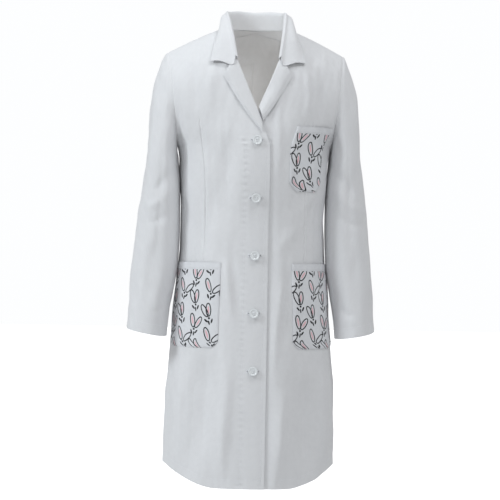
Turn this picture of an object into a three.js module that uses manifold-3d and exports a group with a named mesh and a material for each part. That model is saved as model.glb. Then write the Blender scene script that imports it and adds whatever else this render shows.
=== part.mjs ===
// A knee-length lab coat, standing open as it does on a wearer: two overlapping fronts, two backs,
// two sleeves, a notched collar, three patch pockets and five sewn-on buttons.
// Millimetres. +X is the wearer's left, -Y the front, +Z up. The origin is the middle of the neck
// opening, level with the neck seam, where a wearer's neck or a hanger carries the coat.
// A place on the coat is written as (x, drop), where drop is the distance below the neck seam.

import * as THREE from "three";
import { mergeVertices } from "three/addons/utils/BufferGeometryUtils.js";
import Module from "manifold-3d";

const wasm = await Module();
wasm.setup();

// Cloth
const CLOTH = 0.9; // one layer, with its turned edges
const LAYER_GAP = 0.5; // between two layers that lie on each other
const SEAM_GAP = 0.35; // between two panels that meet edge to edge
const LAYER = CLOTH + LAYER_GAP;

// Neck and shoulders
const NECK_HALF_WIDTH = 62;
const NECK_RISE = 28;
const SHOULDER_HALF_WIDTH = 190;
const SHOULDER_DROP = 58;
const RIDGE_Y = 5; // the shoulder seam lies a little behind the neck's middle
const FRONT_SHOULDER_ROUND = 115; // how far down the front takes to reach its full depth
const BACK_SHOULDER_ROUND = 95;

// Body, at the armpit, the waist and the hem
const CHEST_HALF_WIDTH = 166;
const WAIST_HALF_WIDTH = 156;
const HEM_HALF_WIDTH = 186;

// Armholes and sleeves
const ARMPIT_DROP = 262;
const SLEEVE_HEAD = 90; // length over which the sleeve rounds over the shoulder
const SLEEVE_START_GAP = 0.5;
const CUFF_DROP = 664;
const CUFF_SLANT = 8;

// Length
const HEM_DROP = 988;
const HEM_RISE = 34; // the hem lies this much higher at the side seams

// Front closing
const OVERLAP = 28; // each front runs this far past the middle
const UNDERLAP = 2 * LAYER + 0.4; // the left front runs under the right one and its facing
const UNDERLAP_FADE = 22;
const STEP_START_DROP = 110;
const STEP_FADE = 45;
const GORGE_DROP = 78; // where collar and lapel meet on the roll line
const ROLL_CROSS_DROP = 188; // where the two roll lines cross
const FACING_COLUMNS = 2; // of the front's own columns
const BACK_FACING_DEPTH = 62;
const HEM_TURN = 22;
const CUFF_TURN = 24;
const BUTTONS = 5;
const FIRST_BUTTON_DROP = 252;
const BUTTON_PITCH = 122;
const BUTTON_RADIUS = 10;
const BUTTON_THICKNESS = 3;
const BUTTON_LIFT = 2.2; // the thread shank holds the button off the cloth
const BUTTON_HOLE_RADIUS = 1.05;
const BUTTON_HOLE_PLACE = 1.9; // each sewing hole from the button's middle, along X and Z
const THREAD_RADIUS = 0.6;
const SHANK_RADIUS = 1.3;
const BUTTONHOLE_LENGTH = 2 * BUTTON_RADIUS + 2;
const BUTTONHOLE_WIDTH = 4.4;

// Collar
const STAND_HEIGHT = 37;
const COLLAR_ROLL = 4; // half the gap between the stand and the fall
const COLLAR_SEAM_LIFT = 1.6;
const COLLAR_EDGE_LIFT = 6;
const COLLAR_BELLY = 5; // the fall arches this much between the roll and its edge
const LAPEL_LIFT = 4.5;

// Pockets: the mouth's inner corner, width round the body and height
const POCKET_GAPE = 2.4; // how far the mouth stands off the front in its middle
const POCKET_SEAT = 1; // between a pocket's sewn edges and the front
const HIP_POCKET = { x: 73, drop: 512, width: 152, height: 181, corner: 14 };
const CHEST_POCKET = { x: 78, drop: 220, width: 92, height: 138, corner: 20 };

// The body's half width and its depth in front and behind, by drop.
const HALF_WIDTH = [
  [-60, CHEST_HALF_WIDTH + 74],
  [58, CHEST_HALF_WIDTH + 74],
  [110, CHEST_HALF_WIDTH + 70],
  [170, CHEST_HALF_WIDTH + 56],
  [225, CHEST_HALF_WIDTH + 24],
  [262, CHEST_HALF_WIDTH],
  [330, WAIST_HALF_WIDTH + 4],
  [430, WAIST_HALF_WIDTH],
  [527, WAIST_HALF_WIDTH + 4],
  [600, WAIST_HALF_WIDTH + 11],
  [700, HEM_HALF_WIDTH - 12],
  [800, HEM_HALF_WIDTH - 4],
  [990, HEM_HALF_WIDTH],
];
const FRONT_DEPTH = [
  [-60, 90], [0, 95], [58, 108], [110, 118], [170, 127], [225, 134], [262, 137], [330, 136],
  [430, 126], [600, 128], [700, 131], [800, 135], [990, 142],
];
const BACK_DEPTH = [
  [-60, 76], [0, 80], [58, 95], [110, 106], [170, 114], [225, 116], [262, 115], [330, 110],
  [430, 102], [600, 124], [700, 130], [800, 133], [990, 140],
];
// The sleeve's middle and half width across the body, and its middle and half depth front to back.
const SLEEVE_MIDDLE_X = [
  [58, SHOULDER_HALF_WIDTH - 10],
  [137, CHEST_HALF_WIDTH + 26],
  [267, CHEST_HALF_WIDTH + 34],
  [332, CHEST_HALF_WIDTH + 37],
  [462, CHEST_HALF_WIDTH + 44],
  [592, CHEST_HALF_WIDTH + 53],
  [680, CHEST_HALF_WIDTH + 61],
];
const SLEEVE_HALF_WIDTH = [[58, 26], [137, 28], [267, 30], [332, 36], [462, 44], [592, 45], [680, 44]];
const SLEEVE_MIDDLE_Y = [[58, 2], [267, 0], [462, -8], [592, -22], [680, -34]];
const SLEEVE_HALF_DEPTH = [[58, 66], [200, 78], [267, 78], [332, 74], [462, 64], [592, 52], [680, 47]];

// A smooth curve through a table of [drop, value].
function through(table) {
  const slope = table.map((p, i) => {
    const a = table[Math.max(i - 1, 0)];
    const b = table[Math.min(i + 1, table.length - 1)];
    return (b[1] - a[1]) / (b[0] - a[0]);
  });
  return (d) => {
    let i = table.findIndex((p) => p[0] > d) - 1;
    if (i < 0) i = d < table[0][0] ? 0 : table.length - 2;
    const [d0, v0] = table[i];
    const [d1, v1] = table[i + 1];
    const span = d1 - d0;
    const t = THREE.MathUtils.clamp((d - d0) / span, 0, 1);
    const t2 = t * t;
    const t3 = t2 * t;
    return (
      v0 * (2 * t3 - 3 * t2 + 1) + v1 * (3 * t2 - 2 * t3) +
      span * (slope[i] * (t3 - 2 * t2 + t) + slope[i + 1] * (t3 - t2))
    );
  };
}

const halfWidth = through(HALF_WIDTH);
const frontDepth = through(FRONT_DEPTH);
const backDepth = through(BACK_DEPTH);
const sleeveMiddleX = through(SLEEVE_MIDDLE_X);
const sleeveHalfWidth = through(SLEEVE_HALF_WIDTH);
const sleeveMiddleY = through(SLEEVE_MIDDLE_Y);
const sleeveHalfDepth = through(SLEEVE_HALF_DEPTH);

const quarterRound = (t) => Math.sqrt(1 - (1 - THREE.MathUtils.clamp(t, 0, 1)) ** 2);
const smooth = (t) => THREE.MathUtils.smoothstep(t, 0, 1);
const mix = THREE.MathUtils.lerp;

// How far below the neck seam the shoulder seam lies at x. Inside the neck it runs on upwards.
function shoulderDrop(x) {
  const out = (Math.abs(x) - NECK_HALF_WIDTH) / (SHOULDER_HALF_WIDTH - NECK_HALF_WIDTH);
  return out > 0 ? SHOULDER_DROP * out ** 1.2 : -NECK_RISE * (1 - (x / NECK_HALF_WIDTH) ** 2);
}

// The coat's outer surface. angle is 0 at the middle and a right angle at the side seam.
function bodyPoint(angle, drop, back = false) {
  const x = halfWidth(drop) * Math.sin(angle);
  const depth = back ? backDepth(drop) : -frontDepth(drop);
  const round = back ? BACK_SHOULDER_ROUND : FRONT_SHOULDER_ROUND;
  const reach = quarterRound((drop - shoulderDrop(x)) / round);
  const ridge = RIDGE_Y + (Math.sign(depth) * SEAM_GAP) / 2;
  return new THREE.Vector3(x, ridge + (depth * Math.cos(angle) - ridge) * reach, -drop);
}
const angleAt = (x, drop) => Math.asin(THREE.MathUtils.clamp(x / halfWidth(drop), -1, 1));
const hemDrop = (angle) => HEM_DROP - HEM_RISE * Math.abs(Math.sin(angle)) ** 2.5;

// The armhole lies in one plane, from the shoulder point down to the armpit.
const armholeX = (drop) =>
  THREE.MathUtils.mapLinear(drop, SHOULDER_DROP, ARMPIT_DROP, SHOULDER_HALF_WIDTH, CHEST_HALF_WIDTH);
const armholeDrop = (t) => mix(SHOULDER_DROP, ARMPIT_DROP, (1 - Math.cos(Math.PI * t)) / 2);

// A closed solid between two copies of a surface, from inner to outer along its normal. The surface
// takes u and v from 0 to 1. A ring closes on itself along u.
function shell(surface, columns, rows, inner, outer, ring = false) {
  const step = 1e-4;
  const across = ring ? columns : columns + 1;
  const points = [];
  const normalAt = (u, v) => {
    const du = surface(Math.min(u + step, 1), v).sub(surface(Math.max(u - step, 0), v));
    const dv = surface(u, Math.min(v + step, 1)).sub(surface(u, Math.max(v - step, 0)));
    return du.cross(dv).normalize();
  };
  for (const lift of [outer, inner]) {
    for (let j = 0; j <= rows; j++) {
      for (let i = 0; i < across; i++) {
        const u = i / columns;
        const v = j / rows;
        const offset = typeof lift === "function" ? lift(u, v) : lift;
        points.push(surface(u, v).addScaledVector(normalAt(u, v), offset));
      }
    }
  }
  const layer = across * (rows + 1);
  const at = (i, j, side) => side * layer + j * across + (i % across);
  const index = [];
  const quad = (a, b, c, d) => index.push(a, b, c, a, c, d);
  for (let j = 0; j < rows; j++) {
    for (let i = 0; i < columns; i++) {
      quad(at(i, j, 0), at(i + 1, j, 0), at(i + 1, j + 1, 0), at(i, j + 1, 0));
      quad(at(i, j, 1), at(i, j + 1, 1), at(i + 1, j + 1, 1), at(i + 1, j, 1));
    }
  }
  for (let i = 0; i < columns; i++) {
    quad(at(i, 0, 1), at(i + 1, 0, 1), at(i + 1, 0, 0), at(i, 0, 0));
    quad(at(i, rows, 0), at(i + 1, rows, 0), at(i + 1, rows, 1), at(i, rows, 1));
  }
  if (!ring) {
    for (let j = 0; j < rows; j++) {
      quad(at(0, j, 0), at(0, j + 1, 0), at(0, j + 1, 1), at(0, j, 1));
      quad(at(columns, j, 1), at(columns, j + 1, 1), at(columns, j + 1, 0), at(columns, j, 0));
    }
  }
  const geometry = new THREE.BufferGeometry().setFromPoints(points);
  return geometry.setIndex(index);
}

// The same surface on the other side of the coat, still facing out.
const mirrored = (surface) => (u, v) => {
  const p = surface(1 - u, v);
  return p.set(-p.x, p.y, p.z);
};

// A surface between four edges, each a curve of [angle, drop].
function coons(top, bottom, left, right) {
  const corner = [top(0), top(1), bottom(0), bottom(1)];
  return (u, v) => {
    const [t, b, l, r] = [top(u), bottom(u), left(v), right(v)];
    return [0, 1].map(
      (k) =>
        mix(t[k], b[k], v) + mix(l[k], r[k], u) -
        mix(mix(corner[0][k], corner[1][k], u), mix(corner[2][k], corner[3][k], u), v),
    );
  };
}

// Fronts and backs: the rows above the armpit take this share of v.
const ARMHOLE_SHARE = 0.34;

function outerEdge(v, seamGap) {
  if (v < ARMHOLE_SHARE) {
    const drop = armholeDrop(v / ARMHOLE_SHARE);
    return [angleAt(armholeX(drop) - SEAM_GAP, drop) - seamGap(drop), drop];
  }
  const drop = mix(ARMPIT_DROP, hemDrop(Math.PI / 2), (v - ARMHOLE_SHARE) / (1 - ARMHOLE_SHARE));
  return [Math.PI / 2 - seamGap(drop), drop];
}
const sideGap = (drop) => SEAM_GAP / 2 / frontDepth(drop);

// The front's own edge: the roll line from the neck, then the straight closing edge.
const ROLL_LINE = new THREE.SplineCurve(
  [
    [NECK_HALF_WIDTH, 0],
    [54, 38],
    [46, GORGE_DROP],
    [25, 132],
    [2, ROLL_CROSS_DROP],
    [-15, 228],
    [-OVERLAP + 1, 262],
  ].map(([x, drop]) => new THREE.Vector2(x, drop)),
);
function frontEdge(v) {
  const rollShare = ARMHOLE_SHARE;
  if (v < rollShare) {
    const p = ROLL_LINE.getPoint(v / rollShare);
    return [angleAt(p.x, p.y), p.y];
  }
  const drop = mix(262, HEM_DROP, (v - rollShare) / (1 - rollShare));
  const x = mix(-OVERLAP + 1, -OVERLAP, smooth((drop - 262) / 60));
  return [angleAt(x, drop), Math.min(drop, HEM_DROP)];
}
function shoulderEdge(from) {
  return (u) => {
    const x = mix(from, SHOULDER_HALF_WIDTH - SEAM_GAP, u);
    const drop = shoulderDrop(x);
    return [angleAt(x, drop), drop];
  };
}

const frontCut = coons(
  shoulderEdge(NECK_HALF_WIDTH),
  (u) => {
    const angle = mix(angleAt(-OVERLAP, HEM_DROP), Math.PI / 2 - sideGap(HEM_DROP), u);
    return [angle, hemDrop(angle)];
  },
  frontEdge,
  (v) => outerEdge(v, sideGap),
);
// The wearer's left front steps inwards where it runs under the right one.
function steppedIn(p) {
  const near = smooth((OVERLAP + UNDERLAP_FADE - p.x) / UNDERLAP_FADE);
  p.y += UNDERLAP * near * smooth((-p.z - STEP_START_DROP) / STEP_FADE);
  return p;
}
const frontSurface = (u, v) => bodyPoint(...frontCut(1 - u, v));
const leftFront = (u, v) => steppedIn(frontSurface(u, v));
const rightFront = mirrored(frontSurface);

const backNeckHalf = NECK_HALF_WIDTH;
const backCut = coons(
  (u) => {
    // The neck curve, then the shoulder seam.
    const neckShare = 0.3;
    if (u < neckShare) {
      const x = mix(SEAM_GAP / 2, backNeckHalf, u / neckShare);
      return [angleAt(x, 0), 0];
    }
    return shoulderEdge(backNeckHalf)((u - neckShare) / (1 - neckShare));
  },
  (u) => {
    const angle = mix(SEAM_GAP / 2 / halfWidth(HEM_DROP), Math.PI / 2 - sideGap(HEM_DROP), u);
    return [angle, hemDrop(angle)];
  },
  (v) => {
    const drop = HEM_DROP * v;
    return [SEAM_GAP / 2 / halfWidth(drop), drop];
  },
  (v) => outerEdge(v, sideGap),
);
const rightBack = (u, v) => {
  const p = bodyPoint(...backCut(1 - u, v), true);
  return p.set(-p.x, p.y, p.z);
};
const leftBack = mirrored(rightBack);

// Sleeves: u runs round from the shoulder point over the front, v from the armhole to the cuff.
function sleevePoint(u, v) {
  const round = u < 0.5 ? 2 * u : 2 - 2 * u;
  const back = u > 0.5;
  const drop = armholeDrop(round);
  const start = bodyPoint(angleAt(armholeX(drop), drop), drop, back);
  const turn = 2 * Math.PI * u;
  const end = CUFF_DROP - CUFF_SLANT * Math.cos(turn) + 3 * Math.sin(turn);
  const d = mix(drop, end, v);
  const section = new THREE.Vector2(
    sleeveMiddleX(d) + sleeveHalfWidth(d) * Math.cos(turn),
    sleeveMiddleY(d) - sleeveHalfDepth(d) * Math.sin(turn),
  );
  const eased = quarterRound((d - drop) / SLEEVE_HEAD);
  const gap = SLEEVE_START_GAP * (1 - eased);
  return new THREE.Vector3(mix(start.x + gap, section.x, eased), mix(start.y, section.y, eased), -d);
}

// A point at (x, drop) on the front or the back, lifted off it along its normal.
function onBody(x, drop, lift, back = false) {
  const step = 0.5;
  const at = (px, pd) => bodyPoint(angleAt(px, pd), pd, back);
  const across = at(x + step, drop).sub(at(x - step, drop));
  const down = at(x, drop + step).sub(at(x, drop - step));
  const normal = back ? across.cross(down) : down.cross(across);
  return at(x, drop).addScaledVector(normal.normalize(), lift);
}

// Lapels: u from the outer edge to the roll line, v from the gorge down.
const curve2 = (points) => new THREE.SplineCurve(points.map((p) => new THREE.Vector2(...p)));
const RIGHT_LAPEL = {
  roll: curve2([[46, 80], [25, 132], [4, 182], [-8, 212]]),
  outer: curve2([[72, 116], [46, 158], [22, 195], [-4, 230]]),
};
const LEFT_LAPEL = {
  roll: curve2([[46, 80], [27, 128], [12, 162], [4, 181]]),
  outer: curve2([[72, 116], [46, 158], [26, 190], [13, 208]]),
};
function lapelSurface({ roll, outer }) {
  return (u, v) => {
    const inner = roll.getPoint(v);
    const edge = outer.getPoint(v);
    const away = 1 - u;
    const lift = LAYER_GAP + LAPEL_LIFT * Math.sin(0.8 * Math.PI * away) ** 0.7;
    return onBody(mix(inner.x, edge.x, away), mix(inner.y, edge.y, away), lift);
  };
}

// Collar: stations from the gorge round to the middle of the back. seam and edge are places on the
// body, [x, drop, is it on the back]; the roll stands up and out from the seam by these amounts.
const COLLAR_STATIONS = [
  { seam: [46.5, 79, false], up: 3, out: 6, edge: [97, 86, false] },
  { seam: [53, 40, false], up: 14, out: 7, edge: [93, 50, false] },
  { seam: [60, 7, false], up: 26, out: 4, edge: [86, 17, false] },
  { seam: [61.5, 0.3, false], up: 31, out: 3, edge: [82, 6.8, false] },
  { seam: [57, 1, true], up: 34, out: 3, edge: [74, 10, true] },
  { seam: [34, 0, true], up: 36, out: 3, edge: [44, 12, true] },
  { seam: [0, 0, true], up: STAND_HEIGHT, out: 3, edge: [0, 13, true] },
];
function collarLine(place) {
  const half = COLLAR_STATIONS.map(place);
  const other = half.slice(0, -1).reverse().map((p) => new THREE.Vector3(-p.x, p.y, p.z));
  return new THREE.CatmullRomCurve3([...half, ...other]);
}
const collarSeam = collarLine(({ seam: [x, drop, back] }) => onBody(x, drop, COLLAR_SEAM_LIFT, back));
const collarTop = collarLine(({ seam: [x, drop, back], up, out }) =>
  onBody(x, drop, COLLAR_SEAM_LIFT + out, back).add(new THREE.Vector3(0, 0, up)),
);
const collarEdge = collarLine(({ edge: [x, drop, back] }) => onBody(x, drop, COLLAR_EDGE_LIFT, back));
// u runs along the collar from its left end to its right one, v from the seam up the stand, over
// the roll and down the fall.
function collarPoint(u, v) {
  const seam = collarSeam.getPoint(u);
  const top = collarTop.getPoint(u);
  const edge = collarEdge.getPoint(u);
  const away = edge.clone().sub(seam).setZ(0).normalize();
  const belly = top.clone().lerp(edge, 0.5).addScaledVector(away, COLLAR_BELLY);
  belly.z += COLLAR_BELLY;
  const inside = top.clone().addScaledVector(away, -COLLAR_ROLL);
  const outside = top.clone().addScaledVector(away, COLLAR_ROLL);
  inside.z -= COLLAR_ROLL;
  outside.z -= COLLAR_ROLL;
  const profile = new THREE.CatmullRomCurve3([seam, inside, top, outside, belly, edge], false);
  return profile.getPoint(v);
}

// Facing inside the back's neck.
function backNeckFacing(u, v) {
  const x = mix(-1, 1, u) * (NECK_HALF_WIDTH - 6);
  const low = mix(4, 20, Math.abs(x) / NECK_HALF_WIDTH);
  const drop = mix(low, low + BACK_FACING_DEPTH, v);
  return bodyPoint(angleAt(-x, drop), drop, true);
}

// Facings and hems: a second layer inside the fronts' edges, and the cloth turned up inside at the
// lower edges and at the cuffs. Each follows the facets of the panel it lies on.
const part = (surface, [u0, u1], [v0, v1]) => (u, v) => surface(mix(u0, u1, u), mix(v0, v1, v));
const HEM_SHARE = 1 - HEM_TURN / (HEM_DROP - ARMPIT_DROP);

// Patch pockets: u from the side to the inner edge, v from the mouth down. The two lower corners
// are cut off, so the lower rows draw in.
function pocketPoint(pocket) {
  return (u, v) => {
    const drop = pocket.drop + pocket.height * v;
    const cut = Math.max(0, pocket.height * v - (pocket.height - pocket.corner));
    const start = angleAt(pocket.x, pocket.drop);
    const radius = (halfWidth(drop) + frontDepth(drop)) / 2;
    const along = mix(cut, pocket.width - cut, 1 - u);
    return bodyPoint(start + along / radius, drop);
  };
}
const pocketLift = (u, v) => POCKET_SEAT + POCKET_GAPE * Math.sin(Math.PI * u) * (1 - v);
const pocketSolid = (surface) => shell(surface, 10, 10, pocketLift, (u, v) => pocketLift(u, v) + CLOTH);

// Boolean tools
function solidOf(geometry) {
  const bare = geometry.clone();
  bare.deleteAttribute("normal");
  bare.deleteAttribute("uv");
  const merged = mergeVertices(bare, 1e-4);
  return new wasm.Manifold(
    new wasm.Mesh({
      numProp: 3,
      vertProperties: merged.attributes.position.array,
      triVerts: new Uint32Array(merged.index.array),
    }),
  );
}
function geometryOf(solid) {
  const mesh = solid.getMesh();
  return new THREE.BufferGeometry()
    .setAttribute("position", new THREE.BufferAttribute(mesh.vertProperties, 3))
    .setIndex(new THREE.BufferAttribute(mesh.triVerts, 1));
}
const joined = (parts) => geometryOf(parts.map(solidOf).reduce((a, b) => a.add(b)));
const without = (body, cuts) => geometryOf(cuts.map(solidOf).reduce((a, b) => a.subtract(b), solidOf(body)));

// Buttons: made lying on the XY plane facing +Z, then stood on the front. Their back is at z = 0.
function buttonGeometry() {
  const dish = BUTTON_RADIUS * 0.62;
  const profile = [
    [0, 0], [BUTTON_RADIUS - 1, 0], [BUTTON_RADIUS, 1], [BUTTON_RADIUS, 1.9],
    [BUTTON_RADIUS - 1.1, BUTTON_THICKNESS], [dish + 0.9, BUTTON_THICKNESS],
    [dish, BUTTON_THICKNESS - 0.9], [0, BUTTON_THICKNESS - 0.9],
  ].map(([r, h]) => new THREE.Vector2(r, h));
  const disc = new THREE.LatheGeometry(profile, 24).rotateX(Math.PI / 2);
  const hole = (x, y) =>
    new THREE.CylinderGeometry(BUTTON_HOLE_RADIUS, BUTTON_HOLE_RADIUS, 3 * BUTTON_THICKNESS, 6)
      .rotateX(Math.PI / 2)
      .translate(x, y, 0);
  return without(disc, sewingHoles().map(([x, y]) => hole(x, y)));
}
function sewingHoles() {
  const a = BUTTON_HOLE_PLACE;
  return [[-a, -a], [a, -a], [-a, a], [a, a]];
}
// The thread: the shank below the button, four strands through its holes, two stitches on its face.
function threadGeometry() {
  const face = BUTTON_THICKNESS - 0.9 + 0.3;
  const below = -0.3;
  const rod = (radius, from, to, x = 0, y = 0) =>
    new THREE.CylinderGeometry(radius, radius, to - from, 6)
      .rotateX(Math.PI / 2)
      .translate(x, y, (from + to) / 2);
  const shankStart = -BUTTON_LIFT - UNDERLAP + LAYER_GAP;
  const gatherRadius = BUTTON_HOLE_PLACE * Math.SQRT2 + THREAD_RADIUS;
  const parts = [rod(SHANK_RADIUS, shankStart, below - 0.2), rod(gatherRadius, below - 0.6, below)];
  for (const [x, y] of sewingHoles()) parts.push(rod(THREAD_RADIUS, below - 0.3, face + 0.4, x, y));
  for (const y of [-BUTTON_HOLE_PLACE, BUTTON_HOLE_PLACE]) {
    const length = 2 * (BUTTON_HOLE_PLACE + THREAD_RADIUS);
    parts.push(new THREE.BoxGeometry(length, 2 * THREAD_RADIUS, 0.8).translate(0, y, face + 0.4));
  }
  return joined(parts);
}

// Colours and finishes
const cloth = new THREE.MeshStandardMaterial({ color: 0xdfe3ea, roughness: 0.9, metalness: 0 });
const printed = new THREE.MeshStandardMaterial({ color: 0xd9dade, roughness: 0.9, metalness: 0 });
const resin = new THREE.MeshStandardMaterial({ color: 0xe9edee, roughness: 0.35, metalness: 0 });
const thread = new THREE.MeshStandardMaterial({ color: 0xf0f1f3, roughness: 0.8, metalness: 0 });

const coat = new THREE.Group();
function add(name, geometry, material) {
  const mesh = new THREE.Mesh(geometry, material);
  mesh.name = name;
  coat.add(mesh);
  return mesh;
}

// Buttonholes are cut through the front that lies outside, and through its facing.
const buttonDrops = Array.from({ length: BUTTONS }, (_, i) => FIRST_BUTTON_DROP + i * BUTTON_PITCH);
const slits = buttonDrops.map((drop) => {
  const cut = new THREE.BoxGeometry(BUTTONHOLE_LENGTH, 12, BUTTONHOLE_WIDTH);
  return cut.translate(0, bodyPoint(0, drop).y, -drop);
});
const COLUMNS = 10;
const ROWS = 20;
const RING = 28;
const firstLayer = (surface, columns, rows, ring) => shell(surface, columns, rows, -CLOTH, 0, ring);
const secondLayer = (surface, columns, rows, ring) =>
  shell(surface, columns, rows, -LAYER - CLOTH, -LAYER, ring);
add("right_front", without(firstLayer(rightFront, COLUMNS, ROWS), slits), cloth);
add("left_front", firstLayer(leftFront, COLUMNS, ROWS), cloth);
add("right_back", firstLayer(rightBack, COLUMNS, ROWS), cloth);
add("left_back", firstLayer(leftBack, COLUMNS, ROWS), cloth);
const facingEnd = FACING_COLUMNS / COLUMNS;
const facingOf = (surface, span) =>
  secondLayer(part(surface, span, [1 / ROWS, 0.999]), FACING_COLUMNS, ROWS - 1);
add("right_front_facing", without(facingOf(rightFront, [0.002, facingEnd]), slits), cloth);
add("left_front_facing", facingOf(leftFront, [1 - facingEnd, 0.998]), cloth);
add("back_neck_facing", secondLayer(backNeckFacing, 10, 3), cloth);
const hemOf = (surface, span, columns) => secondLayer(part(surface, span, [HEM_SHARE, 0.999]), columns, 1);
const beside = facingEnd + 0.006;
add("right_front_hem", hemOf(rightFront, [beside, 1], COLUMNS - FACING_COLUMNS), cloth);
add("left_front_hem", hemOf(leftFront, [0, 1 - beside], COLUMNS - FACING_COLUMNS), cloth);
add("right_back_hem", hemOf(rightBack, [0, 1], COLUMNS), cloth);
add("left_back_hem", hemOf(leftBack, [0, 1], COLUMNS), cloth);
const CUFF_SHARE = 1 - CUFF_TURN / (CUFF_DROP - ARMPIT_DROP);
for (const [side, surface] of [["right", mirrored(sleevePoint)], ["left", sleevePoint]]) {
  add(`${side}_sleeve`, firstLayer(surface, RING, 12, true), cloth);
  add(`${side}_cuff_hem`, secondLayer(part(surface, [0, 1], [CUFF_SHARE, 0.999]), RING, 1, true), cloth);
}
add("under_collar", shell(collarPoint, 26, 10, LAYER_GAP / 2, LAYER_GAP / 2 + CLOTH), cloth);
add("upper_collar", shell(collarPoint, 26, 10, -LAYER_GAP / 2 - CLOTH, -LAYER_GAP / 2), cloth);
add("right_lapel", shell(mirrored(lapelSurface(RIGHT_LAPEL)), 5, 10, 0, 2 * CLOTH), cloth);
add("left_lapel", shell(lapelSurface(LEFT_LAPEL), 5, 10, 0, 2 * CLOTH), cloth);
add("chest_pocket", pocketSolid(pocketPoint(CHEST_POCKET)), printed);
add("left_hip_pocket", pocketSolid(pocketPoint(HIP_POCKET)), printed);
add("right_hip_pocket", pocketSolid(mirrored(pocketPoint(HIP_POCKET))), printed);
buttonDrops.forEach((drop, i) => {
  const place = onBody(0, drop, BUTTON_LIFT);
  const facing = onBody(0, drop, 1).sub(onBody(0, drop, 0));
  const tilt = Math.atan2(-facing.y, facing.z);
  for (const [name, geometry, material] of [
    ["button", buttonGeometry(), resin],
    ["button_thread", threadGeometry(), thread],
  ]) {
    const mesh = add(`${name}_${i + 1}`, geometry, material);
    mesh.position.copy(place);
    mesh.rotation.x = tilt;
  }
});

export default coat;
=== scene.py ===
import math
from functools import partial

import bpy
import numpy as np
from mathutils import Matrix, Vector


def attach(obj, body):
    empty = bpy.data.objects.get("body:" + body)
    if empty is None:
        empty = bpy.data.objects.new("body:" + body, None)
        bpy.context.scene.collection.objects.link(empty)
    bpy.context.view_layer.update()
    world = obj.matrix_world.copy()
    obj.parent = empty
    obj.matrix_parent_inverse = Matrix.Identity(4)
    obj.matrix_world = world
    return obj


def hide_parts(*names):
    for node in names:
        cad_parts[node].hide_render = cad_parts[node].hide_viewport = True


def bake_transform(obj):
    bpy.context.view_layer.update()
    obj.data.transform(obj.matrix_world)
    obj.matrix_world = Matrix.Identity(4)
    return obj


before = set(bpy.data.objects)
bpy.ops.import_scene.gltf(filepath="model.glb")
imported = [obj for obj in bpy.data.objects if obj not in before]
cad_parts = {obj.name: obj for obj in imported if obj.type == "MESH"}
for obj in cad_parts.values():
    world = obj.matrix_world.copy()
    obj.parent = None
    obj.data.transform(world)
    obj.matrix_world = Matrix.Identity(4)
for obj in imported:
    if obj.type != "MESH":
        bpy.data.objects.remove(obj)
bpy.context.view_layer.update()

# Camera: level with the waist, a little to the right of the wearer, far enough back to keep the
# coat's lines upright. It leans a little, as the coat hangs a little to one side.
CAMERA_DISTANCE = 4.0
CAMERA_AZIMUTH = math.radians(-3)
CAMERA_LEAN = math.radians(-1.1)
FRAME_WIDTH = 1.09
AIM_X = -0.004
AIM_HEIGHT = -0.484
camera_data = bpy.data.cameras.new("studio camera")
camera = bpy.data.objects.new("studio camera", camera_data)
bpy.context.scene.collection.objects.link(camera)
camera_data.lens = camera_data.sensor_width * CAMERA_DISTANCE / FRAME_WIDTH
camera.location = (
    AIM_X + CAMERA_DISTANCE * math.sin(CAMERA_AZIMUTH),
    -CAMERA_DISTANCE * math.cos(CAMERA_AZIMUTH),
    AIM_HEIGHT,
)
camera.rotation_euler = (math.pi / 2, CAMERA_LEAN, CAMERA_AZIMUTH)
bpy.context.scene.camera = camera

# Studio: a pale floor below the coat and soft light all round, with the main light high on the
# wearer's right.
FLOOR_DROP = 1.3


def new_material(name, colour, roughness):
    """A plain finish to build on; gives the material, its tree and its shader."""
    material = bpy.data.materials.new(name)
    material.use_nodes = True
    shader = material.node_tree.nodes["Principled BSDF"]
    shader.inputs["Base Color"].default_value = (*colour, 1)
    shader.inputs["Roughness"].default_value = roughness
    return material, material.node_tree, shader


def add_node(tree, kind, **values):
    """A new shader node with some of its inputs set; To_Min stands for the input To Min."""
    node = tree.nodes.new("ShaderNode" + kind)
    for socket, value in values.items():
        node.inputs[socket.replace("_", " ")].default_value = value
    return node


bpy.ops.mesh.primitive_plane_add(size=30, location=(0, 0, -FLOOR_DROP))
floor = bpy.context.object
floor.name = "studio floor"
floor_paint, tree, floor_shader = new_material("pale floor", (0.9, 0.9, 0.9), 0.9)
floor_shader.inputs["Emission Color"].default_value = (1, 1, 1, 1)
seen = add_node(tree, "LightPath")
tree.links.new(seen.outputs["Is Camera Ray"], floor_shader.inputs["Emission Strength"])
floor.data.materials.append(floor_paint)
sky = bpy.data.worlds.new("studio")
sky.use_nodes = True
tree = sky.node_tree
seen = add_node(tree, "LightPath")
lit = add_node(tree, "MapRange", To_Min=0.44, To_Max=1.0)
backdrop = tree.nodes["Background"]
backdrop.inputs["Color"].default_value = (0.985, 0.993, 1, 1)
tree.links.new(seen.outputs["Is Camera Ray"], lit.inputs["Value"])
tree.links.new(lit.outputs["Result"], backdrop.inputs["Strength"])
bpy.context.scene.world = sky
bpy.context.scene.view_settings.view_transform = "Standard"
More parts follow.
